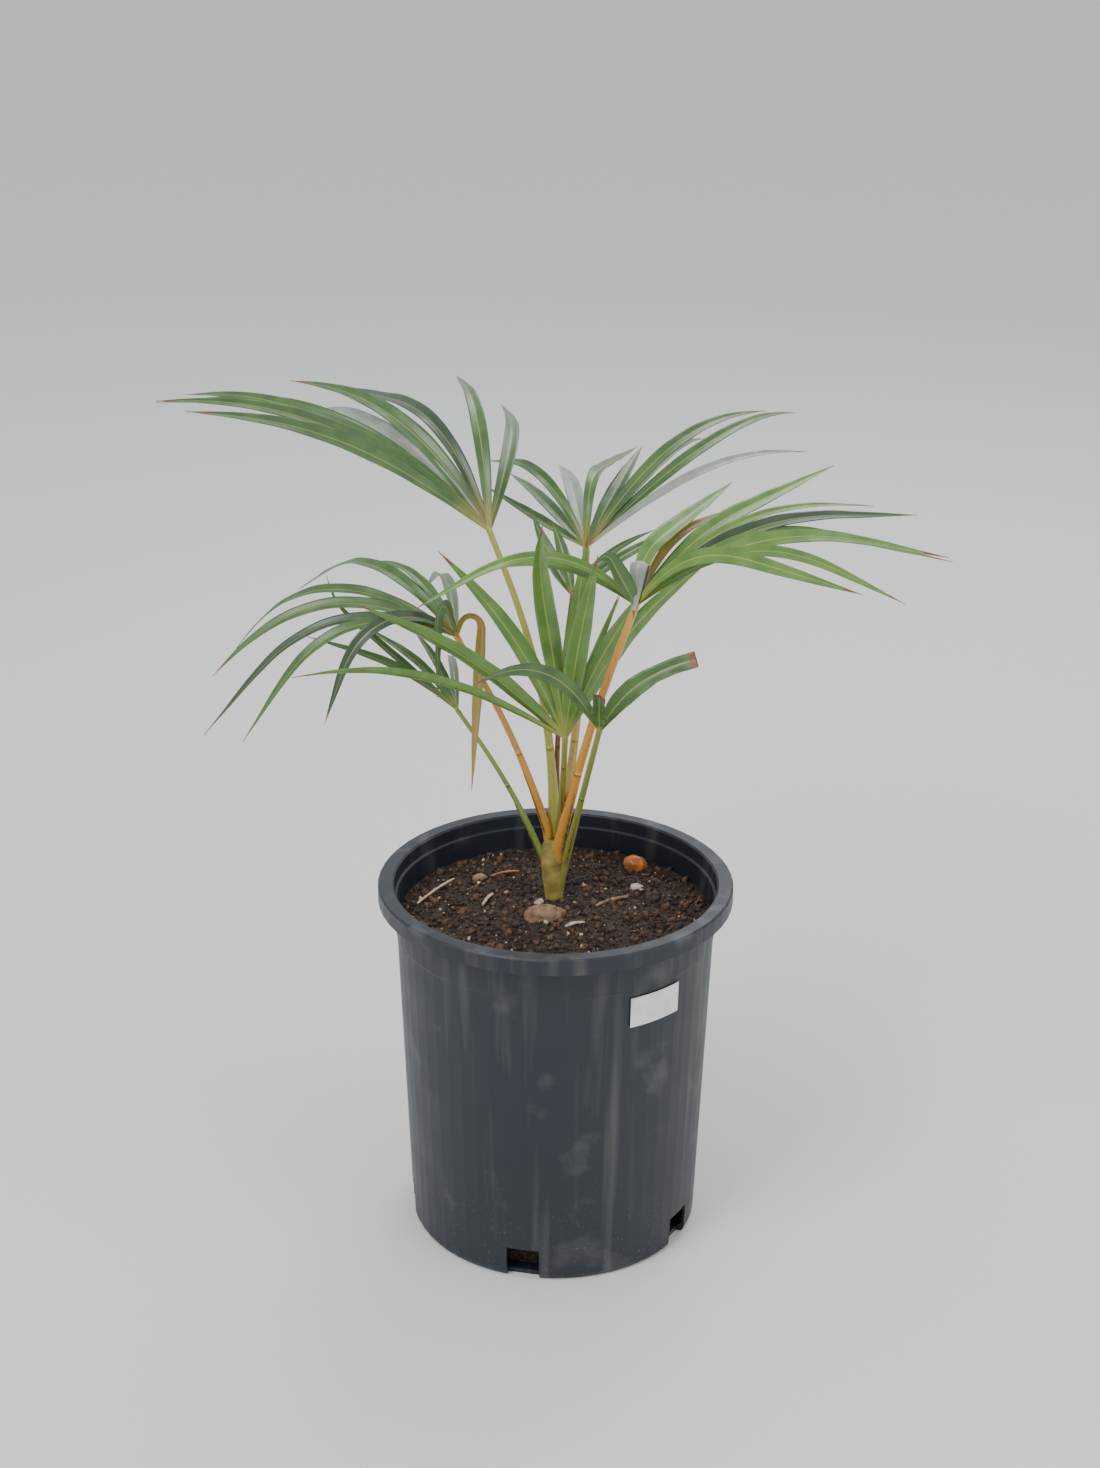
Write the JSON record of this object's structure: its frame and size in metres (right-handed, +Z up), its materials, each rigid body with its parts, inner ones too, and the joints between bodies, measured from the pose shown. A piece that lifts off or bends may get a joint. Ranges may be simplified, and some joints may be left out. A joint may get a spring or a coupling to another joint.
{
  "type": "potted yellow latan palm",
  "caption": "Young yellow latan palm with fans of narrow folded leaflets on yellow and orange stalks, in a round dark nursery pot.",
  "frame": {"origin": "centre of the pot's flat underside", "axes": "+Z up along the pot's axis, -Y towards the side that the picture shows, +X to the right there"},
  "size_m": [0.6831, 0.5425, 0.7607],
  "materials": {
    "pot": "dusty blue-black moulded plastic",
    "mix": "dark crumbly potting mix",
    "stem": "overlapping satin leaf sheaths with brown edges",
    "stalk": "smooth satin leaf stalks, yellow-green to orange and dark red-brown",
    "leaf": "glossy folded green leaflets with paler ribs and brown tips"
  },
  "bodies": {
    "root": {"pot": "pot", "potting_mix": "mix", "stem": "stem", "petiole_upper_left": "stalk", "petiole_back": "stalk", "petiole_right": "stalk", "petiole_front": "stalk", "petiole_left": "stalk", "petiole_lower_left": "stalk", "petiole_lower_right": "stalk", "petiole_inner": "stalk", "frond_upper_left": "leaf", "frond_back": "leaf", "frond_right": "leaf", "frond_front": "leaf", "frond_left": "leaf", "frond_lower_left": "leaf", "frond_lower_right": "leaf", "frond_inner": "leaf"}
  },
  "joints": []
}
